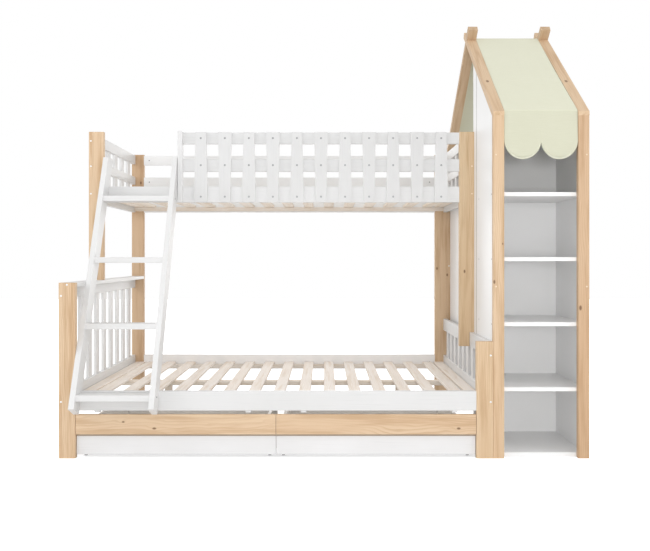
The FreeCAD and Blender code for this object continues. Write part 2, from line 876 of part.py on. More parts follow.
def drawer(name, width, insets):
    """A rolling drawer: a wood fascia over a white front, a box set in on its floor and four casters."""
    fascia = (front, front + cell("fascia_thick"))
    face = (fascia[1], fascia[1] + cell("drawer_front_thick"))
    top = rail_bottom - cell("drawer_rail_gap")
    fascia_up = (top - cell("fascia_height"), top)
    front_up = (cell("drawer_front_bottom"), top - cell("drawer_front_drop"))
    boards(f"{name}_fascia", "x", [(width, fascia, fascia_up)], board_edge)
    boards(f"{name}_front", "x", [(width, face, front_up)], panel_edge)

    wall = cell("drawer_wall_thick")
    floor_bottom = cell("drawer_floor_bottom")
    floor = (floor_bottom, floor_bottom + cell("drawer_floor_thick"))
    rear = fascia[1] + cell("drawer_depth")
    box = (face[1], rear)
    sides = (width[0] + insets[0], width[1] - insets[1])
    boards(f"{name}_floor", "x", [(width, box, floor)], panel_edge)
    wall_up = (floor[1], top - cell("drawer_wall_drop"))
    body = new_body(f"{name}_walls")
    block(body, "y", (sides[0], sides[0] + wall), (box[0], rear - wall), wall_up)
    block(body, "y", (sides[1] - wall, sides[1]), (box[0], rear - wall), wall_up)
    body = new_body(f"{name}_back")
    block(body, "x", sides, (rear - wall, rear), wall_up)

    wheel_x = (width[0] + cell("wheel_end_inset"), width[1] - cell("wheel_end_inset"))
    rows = (
        ("front", face[1] + cell("wheel_front_inset")),
        ("rear", rear - cell("wheel_rear_inset")),
    )
    casters(name, wheel_x, rows, floor_bottom)


def casters(name, wheel_x, rows, top):
    """Fixed forks with their axles under the drawer's floor, and a wheel in each."""
    wheel_radius = cell("wheel_radius")
    axle_radius = cell("axle_radius")
    wheel_width = cell("wheel_width")
    thick = cell("fork_thick")
    spread = wheel_x[1] - wheel_x[0]
    inner = centred(wheel_x[0], wheel_width + 2 * cell("wheel_side_gap"))
    outer = (inner[0] - thick, inner[1] + thick)
    low = wheel_radius - cell("fork_below_axle")
    fork = [
        (outer[0], low),
        (inner[0], low),
        (inner[0], top - thick),
        (inner[1], top - thick),
        (inner[1], low),
        (outer[1], low),
        (outer[1], top),
        (outer[0], top),
    ]
    body = new_body(f"{name}_caster_forks")
    for _, depth in rows:
        sketch = new_sketch(body, "y", depth - cell("fork_length") / 2)
        draw_outline(sketch, fork)
        cheeks = pad(body, "y", sketch, cell("fork_length"))
        sketch = new_sketch(body, "x", outer[0])
        draw_circle(sketch, (depth, wheel_radius), axle_radius)
        axle = pad(body, "x", sketch, outer[1] - outer[0])
        pattern = repeat(body, cheeks, "x", spread, PAIR)
        pattern.Originals = [cheeks, axle]
    doc.recompute()

    def on_rim(edge):
        is_circle = edge.Curve.TypeId == "Part::GeomCircle"
        return is_circle and abs(edge.Curve.Radius - wheel_radius.value) < SAME_PLACE

    for row, depth in rows:
        body = new_body(f"{name}_{row}_wheels")
        sketch = new_sketch(body, "x", wheel_x[0] - wheel_width / 2)
        draw_circle(sketch, (depth, wheel_radius), wheel_radius)
        draw_circle(sketch, (depth, wheel_radius), axle_radius + cell("axle_play"))
        tyre = pad(body, "x", sketch, wheel_width)
        eased = ease_edges(body, tyre, ("Chamfer", cell("wheel_bevel")), on_rim)
        repeat(body, eased, "x", spread, PAIR)


def build():
    bed_posts()
    side_rails()
    rail_pads()
    slat_beds()
    centre_support()
    head_and_foot()
    upper_ends()
    guard_rail()
    back_guard()
    ladder()
    house_posts()
    rafters()
    house_rear(bookcase())
    awning_rods()
    awning()
    gap = cell("drawer_post_gap")
    seam = cell("drawer_seam") / 2
    outer = cell("drawer_outer_inset")
    inner = cell("drawer_inner_inset")
    drawer("left_drawer", (between_posts[0] + gap, bed_middle - seam), (outer, inner))
    drawer("right_drawer", (bed_middle + seam, between_posts[1] - gap), (inner, outer))


def export():
    """Writes every sub-part once nothing in the document is flawed."""
    doc.recompute()
    flawed = [item.Label for item in doc.Objects if any(state in item.State for state in FLAWED_STATES)]
    flawed += [body.Label for body in sub_parts if body.Shape.isNull() or not body.Shape.isValid()]
    if flawed:
        raise RuntimeError(f"flawed: {', '.join(flawed)}")
    os.makedirs("parts", exist_ok=True)
    for body in sub_parts:
        body.Shape.exportStep(os.path.join("parts", f"{body.Label}.step"))
        print(body.Label, len(body.Shape.Solids), round(body.Shape.Volume / 1000), "cm3")


build()
export()
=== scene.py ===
"""Bunk bed with a ladder, rolling drawers and a house-shaped bookcase in a white studio. Metres."""

import json
import math

import bmesh
import bpy
from mathutils import Matrix, Vector


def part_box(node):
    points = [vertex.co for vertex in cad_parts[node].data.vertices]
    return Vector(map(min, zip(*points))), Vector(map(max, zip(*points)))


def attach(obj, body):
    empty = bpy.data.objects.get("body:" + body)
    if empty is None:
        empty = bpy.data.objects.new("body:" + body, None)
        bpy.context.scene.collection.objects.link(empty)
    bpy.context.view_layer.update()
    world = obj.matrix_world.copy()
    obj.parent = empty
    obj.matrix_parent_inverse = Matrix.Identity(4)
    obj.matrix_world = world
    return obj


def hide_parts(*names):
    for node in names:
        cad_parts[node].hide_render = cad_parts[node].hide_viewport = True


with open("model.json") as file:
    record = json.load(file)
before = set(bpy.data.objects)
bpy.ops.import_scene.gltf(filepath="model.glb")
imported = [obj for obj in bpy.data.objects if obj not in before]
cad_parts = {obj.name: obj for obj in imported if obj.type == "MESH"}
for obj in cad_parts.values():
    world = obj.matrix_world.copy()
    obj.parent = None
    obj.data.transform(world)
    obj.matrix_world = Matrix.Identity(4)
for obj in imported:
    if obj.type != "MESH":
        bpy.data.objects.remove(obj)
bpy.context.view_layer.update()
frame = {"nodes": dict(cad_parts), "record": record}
nodes = frame["nodes"]

# Photograph's frame: a level view straight at the front
PHOTO_WIDTH = 650
PHOTO_HEIGHT = 551
VANISHING_Y = 258
FOCAL_PIXELS = 802
SENSOR_WIDTH = 36
CAMERA_DISTANCE = 3.825
CAMERA_X = 0.0048
CAMERA_Z = 0.956

# Painted shadow: a dark line on the drawer fronts, under the overhang of their fascias
FASCIA_SHADOW_DROP = 0.010
FASCIA_SHADOW_SOFT = 0.002

# Joint in the bookcase's left panel, measured from its rear edge
PANEL_JOINT_INSET = 0.092
PANEL_JOINT_HALF = 0.010

# Cloth of the awning and the rods that it goes round
ROD_RADIUS = 0.011
ROD_SINK = 0.0138
CLOTH_THICK = 0.0016
CLOTH_CLEARANCE = 0.0008
CLOTH_SAG = 0.002
CLOTH_SIDE_GAP = 0.001
HEM_DROP = 0.040
VALANCE_BOW = 0.003
ROOF_RIPPLE = 0.0008
ROOF_RIPPLES = 9
BINDING_WIDTH = 0.008
BINDING_LIFT = 0.0010
BINDING_ROUND = 0.0008
BINDING_EDGE_LIFT = 0.0004
BINDING_FLAT_SHARE = 0.9
SEAM_SHARE = 0.8
LOBES = 2
LOBE_STEPS = 28
ROOF_ROWS = 26
VALANCE_ROWS = 14
HEM_ROWS = 4
BEND_ROWS = 8
STITCH_LENGTH = 0.0035
STITCH_PITCH = 0.0055
STITCH_RADIUS = 0.0005

# Fasteners: heads are turned from shapes of (share of the radius, height)
CAP_SHAPE = ((1, 0), (1, 0.0007), (0.93, 0.0012), (0.6, 0.0016), (0.15, 0.0017))
SCREW_SHAPE = ((1, 0), (1, 0.0003), (0.9, 0.0006), (0.5, 0.0006), (0.42, 0.0002))
HEAD_SEGMENTS = 20
FORWARD = (0, -1, 0)
BACKWARD = (0, 1, 0)
LEFTWARD = (-1, 0, 0)
RIGHTWARD = (1, 0, 0)
CAP_RADIUS = 0.0048
PALE_CAP_RADIUS = 0.0040
SCREW_RADIUS = 0.0038
PICKET_SCREW_RADIUS = 0.0055
BARREL_RADIUS = 0.0042
END_BOLT_INSET = 0.012
HOUSE_BOLT_INSET = 0.013
UPPER_BOLT_HEIGHTS = (1.302, 1.450, 1.586)
HEAD_BOLT_HEIGHTS = (0.269, 0.775)
FOOT_BOLT_HEIGHTS = (0.269, 0.491)
CAP_BOARD_BOLT_HEIGHT = 0.828
HOUSE_BOLT_HEIGHTS = (0.820, 1.449)
REAR_HOUSE_BOLT_HEIGHT = 0.904
PICKET_SCREW_HEIGHTS = (1.285, 1.454, 1.599)
BARREL_INSET = 0.035
GUARD_RAIL_HEIGHT = 0.062
SHELF_SCREW_DEPTHS = (0.007, 0.326)
SHELF_COUNT = 5
SHELF_THICK = 0.019
PICKET_COUNT = 11
PICKET_WIDE = 0.074
TREAD_DEPTH = 0.080
TREAD_THICK = 0.029

# Colours, shine and roughness
PINE_PALE = (0.72, 0.545, 0.37)
PINE_WARM = (0.63, 0.43, 0.26)
PINE_LINE = (0.495, 0.31, 0.168)
FASCIA_PALE = (0.75, 0.575, 0.40)
FASCIA_WARM = (0.67, 0.475, 0.305)
FASCIA_LINE = (0.54, 0.355, 0.205)
RAW_PALE = (0.94, 0.875, 0.80)
RAW_WARM = (0.89, 0.79, 0.68)
RAW_LINE = (0.76, 0.63, 0.49)
PINE_ROUGHNESS = 0.5
RAW_ROUGHNESS = 0.62
WOOD_SHINE = 0.35
KNOT_COLOUR = (0.17, 0.085, 0.04)
CANVAS_LIGHT = (0.70, 0.70, 0.56)
CANVAS_DARK = (0.64, 0.64, 0.495)
BINDING_LIGHT = (0.765, 0.765, 0.635)
WHITE_LIGHT = (0.76, 0.76, 0.76)
WHITE_DARK = (0.73, 0.73, 0.726)
WHITE_STREAK = (0.64, 0.64, 0.64)
WHITE_SHINE = 0.4
# colour of the painted shadow under the drawer fascias
FASCIA_SHADOW_COLOUR = (0.36, 0.30, 0.235)
PLASTIC_DARK = (0.16, 0.165, 0.17)
PLASTIC_LIGHT = (0.24, 0.245, 0.25)
PLASTIC_ROUGHNESS = 0.45
CAP_DARK = (0.84, 0.84, 0.84)
CAP_LIGHT = (0.88, 0.88, 0.88)
PALE_CAP_DARK = (0.80, 0.66, 0.49)
PALE_CAP_LIGHT = (0.85, 0.71, 0.55)
CAP_ROUGHNESS = 0.35
ZINC_DARK = (0.30, 0.305, 0.31)
ZINC_LIGHT = (0.44, 0.445, 0.45)
ZINC_ROUGHNESS = 0.4
DARK_STEEL_DARK = (0.09, 0.09, 0.095)
DARK_STEEL_LIGHT = (0.16, 0.16, 0.165)
DARK_STEEL_ROUGHNESS = 0.42
LAMINATE_LIGHT = (0.95, 0.95, 0.95)
LAMINATE_DARK = (0.93, 0.93, 0.927)
JOINT_COLOUR = (0.36, 0.35, 0.33)
FLOOR_COLOUR = (0.9, 0.9, 0.9)
FLOOR_ROUGHNESS = 0.9
CLEAR_WHITE = (1, 1, 1)

# Textures: a mix is its weakest and strongest share, then the levels of the pattern between which it grows;
# a bump is its strength and depth; scales are per metre, along the grain and across it
COARSE = 2.0
FINE = 3.0
WANDER_SCALES = (1.9, 8, 8)
WANDER = 0.075
RING_SLANT = 0.6
RING_SCALE = 38.0
RING_MIX = (0.0, 1.0, 0.45, 0.98)
RING_FADE = (0.12, 0.6, 0.3, 0.7)
RING_RELIEF = 0.6
TONE_SCALES = (0.7, 11, 11)
TONE_MIX = (0.0, 0.7, 0.3, 0.75)
FLAME_SCALES = (3.2, 46, 46)
FLAME_MIX = (0.0, 0.7, 0.44, 0.74)
FIBRE_SCALES = (26, 640, 640)
FIBRE_MIX = (0.0, 0.22, 0.35, 0.75)
FIBRE_SMOOTHER = 0.06
FIBRE_ROUGHER = 0.1
KNOT_STRETCH = (0.55, 1, 1)
KNOT_PUSH = (0.006, 0.0, 0.0, 0.03)
KNOT_CORE = 0.4
KNOT_SHARE = 0.85
FRONT_FACING = (1.0, 0.0, -0.6, -0.4)
WOOD_BUMP = (0.18, 0.0006)
CLOUD_MIX = (0.0, 1.0, 0.3, 0.7)
PAINT_CLOUD_SCALE = 2.6
PAINT_STREAK_SCALES = (5, 150, 150)
PAINT_STREAK_MIX = (0.0, 0.35, 0.52, 0.8)
PAINT_STREAK_RELIEF = 2.0
PAINT_STIPPLE_SCALE = 420.0
PAINT_BUMP = (0.1, 0.0004)
PAINT_ROUGHNESS = (0.38, 0.5)
LAMINATE_CLOUD_SCALE = 3.4
LAMINATE_STIPPLE_SCALE = 900.0
LAMINATE_BUMP = (0.06, 0.0002)
LAMINATE_ROUGHNESS = (0.4, 0.48)
SPECKLE_SCALE = 900.0
SPECKLE_MIX = (0.0, 1.0, 0.35, 0.65)
SPECKLE_BUMP = (0.1, 0.0002)
SPECKLE_ROUGHNESS = 0.05
TURNING_SCALE = 1600.0
TURNING_BUMP = (0.1, 0.0001)
TURNING_ROUGHNESS = 0.08
THREAD_SCALE = 220.0
SLUB_SCALES = (14, 260, 1)
THREAD_SHARE = 0.45
SLUB_SHARE = 0.55
WEAVE_MIX = (0.0, 1.0, 0.3, 0.9)
CLOTH_CLOUD_SCALE = 5.0
CLOTH_CLOUD_MIX = (0.0, 0.25, 0.35, 0.7)
# Painted light on the cloth: paler where it faces up, darker where it hangs upright
CLOTH_UPWARD_LIGHT = (0.945, 1.06, 0.1, 0.6)
WEAVE_BUMP = (0.25, 0.0004)
CLOTH_ROUGHNESS = 0.9
CLOTH_SHEEN = 0.25
CLOTH_SHINE = 0.15

# Studio: the fill from all round, the floor, and the lamps by name, place, aim, size and power
FILL = 0.82
FLOOR_REACH = 14.0
FLOOR_Z = -0.001
FLOOR_GLOW = 0.66
LAMPS = (
    ("front_lamp", (0.3, -6.4, 1.0), (0, 0, 1.0), 1.2, 80),
    ("left_lamp", (-4.5, -2.0, 3.2), (0.6, 0, 1.2), 2.5, 52),
    ("right_lamp", (4.5, -2.2, 2.8), (-0.6, 0, 1.0), 2.5, 40),
    ("back_lamp", (-0.2, 4.6, 1.3), (-0.2, 0, 0.3), 2.0, 34),
)


def low(name):
    return Vector(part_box(name)[0])


def high(name):
    return Vector(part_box(name)[1])


# Roof: the cloth goes round the three rods
rods_low = low("awning_rods")
rods_high = high("awning_rods")
eave_z = rods_low.z + ROD_RADIUS
ridge_z = rods_high.z - ROD_RADIUS
front_rod_y = rods_low.y + ROD_RADIUS
rear_rod_y = rods_high.y - ROD_RADIUS
ridge_y = (front_rod_y + rear_rod_y) / 2
roof_angle = math.atan2(ridge_z - eave_z, ridge_y - front_rod_y)

front_y = low("lower_front_left_post").y

# Knots seen in the photograph, on front faces: node, distance from its left edge, height and radius
KNOTS = (
    ("left_drawer_fascia", 0.375, 0.143, 0.007),
    ("right_drawer_fascia", 0.871, 0.143, 0.007),
    ("left_drawer_fascia", 0.227, 0.174, 0.005),
    ("upper_front_right_post", 0.028, 0.884, 0.007),
    ("back_right_post", 0.014, 0.887, 0.007),
    ("house_rear_left_post", 0.001, 0.845, 0.007),
    ("house_front_left_post", 0.005, 0.842, 0.007),
    ("house_front_left_post", 0.045, 1.024, 0.004),
    ("house_front_right_post", 0.010, 0.718, 0.009),
    ("back_left_post", 0.060, 1.450, 0.007),
    ("front_rafters", 0.027, 1.859, 0.010),
    ("front_rafters", 0.429, 1.859, 0.010),
)

# Tone of single nodes against others of their kind: partly the wood's own tone, partly painted light and
# shade, lifting the back rails, lower slats and drawer boxes out of their shade and darkening the rear
# rafters, the back left post and the front white boards for how light falls on them
TONES_AND_PAINTED_LIGHT = {
    "guard_pickets": (0.92, 0.92, 0.92),
    "guard_rails": (0.95, 0.95, 0.95),
    "lower_front_rail": (0.96, 0.96, 0.96),
    "lower_back_rail": (1.17, 1.15, 1.14),
    "upper_back_rail": (1.17, 1.17, 1.17),
    "back_guard_rails": (1.15, 1.16, 1.17),
    "left_drawer_front": (1.05, 1.05, 1.06),
    "right_drawer_front": (1.05, 1.05, 1.06),
    "bookcase_left_panel": (0.97, 0.97, 0.97),
    "right_drawer_fascia": (0.96, 0.94, 0.92),
    "house_front_right_post": (0.92, 0.88, 0.86),
    "upper_front_right_post": (0.92, 0.93, 0.89),
    "lower_front_right_post": (1.02, 1.05, 1.06),
    "back_left_post": (0.90, 0.88, 0.88),
    "rear_rafters": (0.84, 0.83, 0.82),
    "slat_ledgers": (0.90, 0.91, 0.93),
    "lower_slats": (1.04, 1.05, 1.08),
}
EVEN_TONE = (1, 1, 1)
# Painted light: the drawer boxes are made paler, as if lit in the shade under the bed
DRAWER_BOX_PAINTED_LIGHT = (1.25, 1.22, 1.18)
for side in ("left", "right"):
    for part in ("back", "walls", "floor"):
        TONES_AND_PAINTED_LIGHT[f"{side}_drawer_{part}"] = DRAWER_BOX_PAINTED_LIGHT


class Tree:
    """A material and short calls to fill its node tree."""

    def __init__(self, name):
        self.material = bpy.data.materials.new(name)
        self.material.use_nodes = True
        self.nodes = self.material.node_tree.nodes
        self.links = self.material.node_tree.links
        self.surface = self.nodes["Principled BSDF"]

    def put(self, socket, value):
        if isinstance(value, bpy.types.NodeSocket):
            self.links.new(value, socket)
        elif hasattr(value, "__len__") and socket.type == "RGBA":
            socket.default_value = (*value, 1)
        else:
            socket.default_value = value

    def add(self, kind, inputs, output=0, **settings):
        node = self.nodes.new(f"ShaderNode{kind}")
        for name, value in settings.items():
            setattr(node, name, value)
        for key, value in inputs.items():
            self.put(node.inputs[key], value)
        return node.outputs[output]

    def math(self, operation, first, second=0.0):
        return self.add("Math", {0: first, 1: second}, operation=operation)

    def scaled(self, vector, factors):
        return self.add("VectorMath", {0: vector, 1: factors}, operation="MULTIPLY")

    def noise(self, vector, scale=1.0, detail=COARSE):
        return self.add("TexNoise", {"Vector": vector, "Scale": scale, "Detail": detail})

    def spread(self, value, lowest, highest, start=0.0, end=1.0):
        inputs = {0: value, 1: start, 2: end, 3: lowest, 4: highest}
        return self.add("MapRange", inputs, interpolation_type="SMOOTHSTEP")

    def mix(self, factor, first, second, blend="MIX"):
        node = self.nodes.new("ShaderNodeMix")
        node.data_type = "RGBA"
        node.blend_type = blend
        self.put(node.inputs[0], factor)
        self.put(node.inputs[6], first)
        self.put(node.inputs[7], second)
        return node.outputs[2]

    def node_tone_and_light(self, colour):
        """A colour under the node's own tone and its painted light and shade, taken from the node's colour.
        """
        return self.mix(1.0, colour, self.add("ObjectInfo", {}, output="Color"), "MULTIPLY")

    def bump(self, height, strength, distance):
        inputs = {"Height": height, "Strength": strength, "Distance": distance}
        self.put(self.surface.inputs["Normal"], self.add("Bump", inputs))

    def finish(self, colour, roughness, **constants):
        self.put(self.surface.inputs["Base Color"], colour)
        self.put(self.surface.inputs["Roughness"], roughness)
        for name, value in constants.items():
            self.put(self.surface.inputs[name.replace("_", " ")], value)
        return self.material


GRAIN_ORDER = {"x": (0, 1, 2), "y": (1, 0, 2), "z": (2, 0, 1)}


def grain_place(point, grain, tilt):
    """A point with its grain axis first, as the shader sees it."""
    turned_point = Matrix.Rotation(tilt, 3, "X") @ point
    return Vector([turned_point[axis] for axis in GRAIN_ORDER[grain]])


def grain_vector(tree, grain, tilt):
    """Object coordinates with the grain axis first, turned about X by the tilt."""
    place = tree.add("TexCoord", {}, output="Object")
    if tilt:
        place = tree.add("Mapping", {"Vector": place, "Rotation": (tilt, 0, 0)})
    parts = tree.nodes.new("ShaderNodeSeparateXYZ")
    tree.put(parts.inputs[0], place)
    order = GRAIN_ORDER[grain]
    inputs = {index: parts.outputs[axis] for index, axis in enumerate(order)}
    return tree.add("CombineXYZ", inputs)


def wood(name, grain, pale, warm, line, knots=(), tilt=0.0, roughness=PINE_ROUGHNESS):
    """Softwood with growth lines along the grain, streaks, pores and any knots."""
    tree = Tree(name)
    place = grain_vector(tree, grain, tilt)
    wander = tree.noise(tree.scaled(place, WANDER_SCALES), detail=FINE)
    parts = tree.nodes.new("ShaderNodeSeparateXYZ")
    tree.put(parts.inputs[0], place)
    across = tree.math("MULTIPLY_ADD", parts.outputs[2], RING_SLANT)
    tree.put(across.node.inputs[2], parts.outputs[1])
    across = tree.math("ADD", across, tree.math("MULTIPLY", wander, WANDER))
    knot_mask = None
    for knot, radius in knots:
        away = tree.add("VectorMath", {0: place, 1: knot}, operation="SUBTRACT")
        stretched = tree.scaled(away, KNOT_STRETCH)
        reach = tree.add("VectorMath", {0: stretched}, output="Value", operation="LENGTH")
        across = tree.math("ADD", across, tree.spread(reach, *KNOT_PUSH))
        mask = tree.spread(reach, 1.0, 0.0, KNOT_CORE * radius, radius)
        knot_mask = mask if knot_mask is None else tree.math("MAXIMUM", knot_mask, mask)
    line_at = tree.add("CombineXYZ", {0: across})
    inputs = {"Vector": line_at, "Scale": RING_SCALE}
    rings = tree.add("TexWave", inputs, output="Fac", wave_profile="SAW")
    lines = tree.spread(rings, *RING_MIX)
    tone = tree.noise(tree.scaled(place, TONE_SCALES))
    fibre = tree.noise(tree.scaled(place, FIBRE_SCALES))
    flames = tree.noise(tree.scaled(place, FLAME_SCALES), detail=FINE)
    colour = tree.mix(tree.spread(tone, *TONE_MIX), pale, warm)
    colour = tree.mix(tree.spread(flames, *FLAME_MIX), colour, line)
    fade = tree.math("MULTIPLY", lines, tree.spread(wander, *RING_FADE))
    colour = tree.mix(fade, colour, line)
    colour = tree.mix(tree.spread(fibre, *FIBRE_MIX), colour, warm)
    if knot_mask is not None:
        colour = tree.mix(tree.math("MULTIPLY", knot_mask, KNOT_SHARE), colour, KNOT_COLOUR)
    relief = tree.math("ADD", fibre, tree.math("MULTIPLY", lines, RING_RELIEF))
    tree.bump(relief, *WOOD_BUMP)
    rough = tree.spread(fibre, roughness - FIBRE_SMOOTHER, roughness + FIBRE_ROUGHER)
    return tree.finish(tree.node_tone_and_light(colour), rough, Specular_IOR_Level=WOOD_SHINE)


def painted(name, grain, seam=None):
    """White satin paint that lets the grain show faintly; above any given seam height its front carries
    painted shadow, as under an overhang.
    """
    tree = Tree(name)
    place = grain_vector(tree, grain, 0.0)
    cloud = tree.noise(place, PAINT_CLOUD_SCALE, FINE)
    streaks = tree.noise(tree.scaled(place, PAINT_STREAK_SCALES), detail=FINE)
    stipple = tree.noise(place, PAINT_STIPPLE_SCALE)
    colour = tree.mix(tree.spread(cloud, *CLOUD_MIX), WHITE_DARK, WHITE_LIGHT)
    colour = tree.mix(tree.spread(streaks, *PAINT_STREAK_MIX), colour, WHITE_STREAK)
    # Painted shadow: front-facing faces go dark above the seam height, as shade under the fascia's overhang
    if seam is not None:
        height = tree.add("SeparateXYZ", {0: place}, output="Z")
        line = tree.spread(height, 0.0, 1.0, seam - FASCIA_SHADOW_SOFT, seam)
        facing = tree.add("SeparateXYZ", {0: tree.add("NewGeometry", {}, output="Normal")}, output="Y")
        line = tree.math("MULTIPLY", line, tree.spread(facing, *FRONT_FACING))
        colour = tree.mix(line, colour, FASCIA_SHADOW_COLOUR)
    relief = tree.math("ADD", tree.math("MULTIPLY", streaks, PAINT_STREAK_RELIEF), stipple)
    tree.bump(relief, *PAINT_BUMP)
    rough = tree.spread(cloud, *PAINT_ROUGHNESS)
    return tree.finish(tree.node_tone_and_light(colour), rough, Specular_IOR_Level=WHITE_SHINE)


def laminate(name, joint=None):
    """Smooth white-faced board with a fine pressed texture, and a dim line at the depth of any joint."""
    tree = Tree(name)
    place = tree.add("TexCoord", {}, output="Object")
    cloud = tree.noise(place, LAMINATE_CLOUD_SCALE)
    stipple = tree.noise(place, LAMINATE_STIPPLE_SCALE)
    colour = tree.mix(tree.spread(cloud, *CLOUD_MIX), LAMINATE_DARK, LAMINATE_LIGHT)
    if joint is not None:
        depth = tree.add("SeparateXYZ", {0: place}, output="Y")
        distance = tree.math("ABSOLUTE", tree.math("SUBTRACT", depth, joint))
        colour = tree.mix(tree.spread(distance, 1.0, 0.0, 0.0, PANEL_JOINT_HALF), colour, JOINT_COLOUR)
    tree.bump(stipple, *LAMINATE_BUMP)
    rough = tree.spread(cloud, *LAMINATE_ROUGHNESS)
    return tree.finish(tree.node_tone_and_light(colour), rough, Specular_IOR_Level=WHITE_SHINE)


def moulded(name, dark, light, roughness):
    """Fine-grained moulded plastic."""
    tree = Tree(name)
    place = tree.add("TexCoord", {}, output="Object")
    speckle = tree.noise(place, SPECKLE_SCALE)
    colour = tree.mix(tree.spread(speckle, *SPECKLE_MIX), dark, light)
    tree.bump(speckle, *SPECKLE_BUMP)
    rough = tree.spread(speckle, roughness - SPECKLE_ROUGHNESS, roughness + SPECKLE_ROUGHNESS)
    return tree.finish(colour, rough)


def plated(name, dark, light, roughness):
    """Zinc-plated steel with fine turning marks."""
    tree = Tree(name)
    place = tree.add("TexCoord", {}, output="Object")
    marks = tree.noise(place, TURNING_SCALE, FINE)
    colour = tree.mix(marks, dark, light)
    tree.bump(marks, *TURNING_BUMP)
    rough = tree.spread(marks, roughness - TURNING_ROUGHNESS, roughness + TURNING_ROUGHNESS)
    return tree.finish(colour, rough, Metallic=1.0)


def woven(name, dark, light):
    """Plain-weave cotton: crossing threads, uneven yarn, and painted light that makes it paler where it
    faces up.
    """
    tree = Tree(name)
    flat_place = tree.add("TexCoord", {}, output="UV")
    inputs = {"Vector": flat_place, "Scale": THREAD_SCALE}
    warp = tree.add("TexWave", inputs, output="Fac", bands_direction="X")
    weft = tree.add("TexWave", inputs, output="Fac", bands_direction="Y")
    slub = tree.noise(tree.scaled(flat_place, SLUB_SCALES))
    cloud = tree.noise(flat_place, CLOTH_CLOUD_SCALE)
    threads = tree.math("MAXIMUM", warp, weft)
    shade = tree.math("MULTIPLY", threads, THREAD_SHARE)
    shade = tree.math("ADD", shade, tree.math("MULTIPLY", slub, SLUB_SHARE))
    colour = tree.mix(tree.spread(shade, *WEAVE_MIX), dark, light)
    colour = tree.mix(tree.spread(cloud, *CLOTH_CLOUD_MIX), colour, dark)
    # Painted light: the cloth is paler where it faces up, darker where it hangs upright
    facing = tree.nodes.new("ShaderNodeSeparateXYZ")
    tree.put(facing.inputs[0], tree.add("NewGeometry", {}, output="Normal"))
    upward_light = tree.spread(facing.outputs[2], *CLOTH_UPWARD_LIGHT)
    colour = tree.mix(1.0, colour, upward_light, "MULTIPLY")
    tree.bump(tree.math("ADD", threads, slub), *WEAVE_BUMP)
    return tree.finish(colour, CLOTH_ROUGHNESS, Sheen_Weight=CLOTH_SHEEN, Specular_IOR_Level=CLOTH_SHINE)


def knot_points(names, grain, tilt=0.0):
    """The knots on some boards, as their shader sees them, and their radii."""
    points = []
    for name, across, up, radius in KNOTS:
        if name not in names:
            continue
        corner = low(name)
        y = corner.y
        if name == "front_rafters":
            y = front_rod_y + (up - eave_z) / math.tan(roof_angle) - ROD_SINK / math.sin(roof_angle)
        points.append((grain_place(Vector((corner.x + across, y, up)), grain, tilt), radius))
    return points


def paint(names, material):
    for name in names:
        for place in nodes[name].material_slots:
            place.material = material


UPRIGHT_WORDS = ("post", "slats", "pickets", "stile", "leg", "panel")
CROSSWISE = (
    "headboard_cap",
    "headboard_rails",
    "footboard_rails",
    "upper_end_rails",
    "left_drawer_walls",
    "right_drawer_walls",
)


def grain_of(name):
    if name in CROSSWISE:
        return "y"
    return "z" if name.endswith(UPRIGHT_WORDS) else "x"


def dress():
    """Gives every CAD node its material."""
    slots = {part["node"]: part["material_slot"] for part in frame["record"]["subparts"]}
    white = {grain: painted(f"white_satin_paint_{grain}", grain) for grain in GRAIN_ORDER}
    pine = {}
    tones = {"x": (FASCIA_PALE, FASCIA_WARM, FASCIA_LINE), "z": (PINE_PALE, PINE_WARM, PINE_LINE)}
    for grain, colours in tones.items():
        names = [name for name in slots if grain_of(name) == grain]
        pine[grain] = wood(f"pine_{grain}", grain, *colours, knot_points(names, grain))
    grey = moulded("grey_plastic", PLASTIC_DARK, PLASTIC_LIGHT, PLASTIC_ROUGHNESS)
    for name, slot in slots.items():
        # each node's colour carries its tone and its painted light and shade
        nodes[name].color = (*TONES_AND_PAINTED_LIGHT.get(name, EVEN_TONE), 1)
        if slot == "white_paint":
            paint([name], white[grain_of(name)])
        elif slot == "caster_plastic":
            paint([name], grey)
        elif slot == "natural_wood":
            paint([name], pine[grain_of(name)])

    # Painted shadow on the drawer fronts, in a band just under the fascias
    seam = low("left_drawer_fascia").z - FASCIA_SHADOW_DROP
    paint(["left_drawer_front", "right_drawer_front"], painted("white_drawer_front_fascia_shadow", "x", seam))
    boards = [name for name in slots if name.startswith("bookcase")]
    paint(boards + ["house_rear_panel"], laminate("white_laminate"))
    joint = high("bookcase_left_panel").y - PANEL_JOINT_INSET
    paint(["bookcase_left_panel"], laminate("jointed_laminate", joint))

    slope_knots = knot_points(["front_rafters"], "y", -roof_angle)
    front_slope = wood("pine_front_slope", "y", PINE_PALE, PINE_WARM, PINE_LINE, slope_knots, -roof_angle)
    rear_slope = wood("pine_rear_slope", "y", PINE_PALE, PINE_WARM, PINE_LINE, tilt=roof_angle)
    paint(["front_rafters"], front_slope)
    paint(["rear_rafters"], rear_slope)
    raw = {}
    for grain in GRAIN_ORDER:
        raw[grain] = wood(f"raw_pine_{grain}", grain, RAW_PALE, RAW_WARM, RAW_LINE, roughness=RAW_ROUGHNESS)
    paint(["lower_slats", "upper_slats"], raw["y"])
    paint(["slat_ledgers", "centre_beam"], raw["x"])
    paint(["centre_legs"], raw["z"])


def add_piece(name, mesh, material):
    mesh.materials.append(material)
    piece = bpy.data.objects.new(name, mesh)
    bpy.context.scene.collection.objects.link(piece)
    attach(piece, "bed")
    return piece


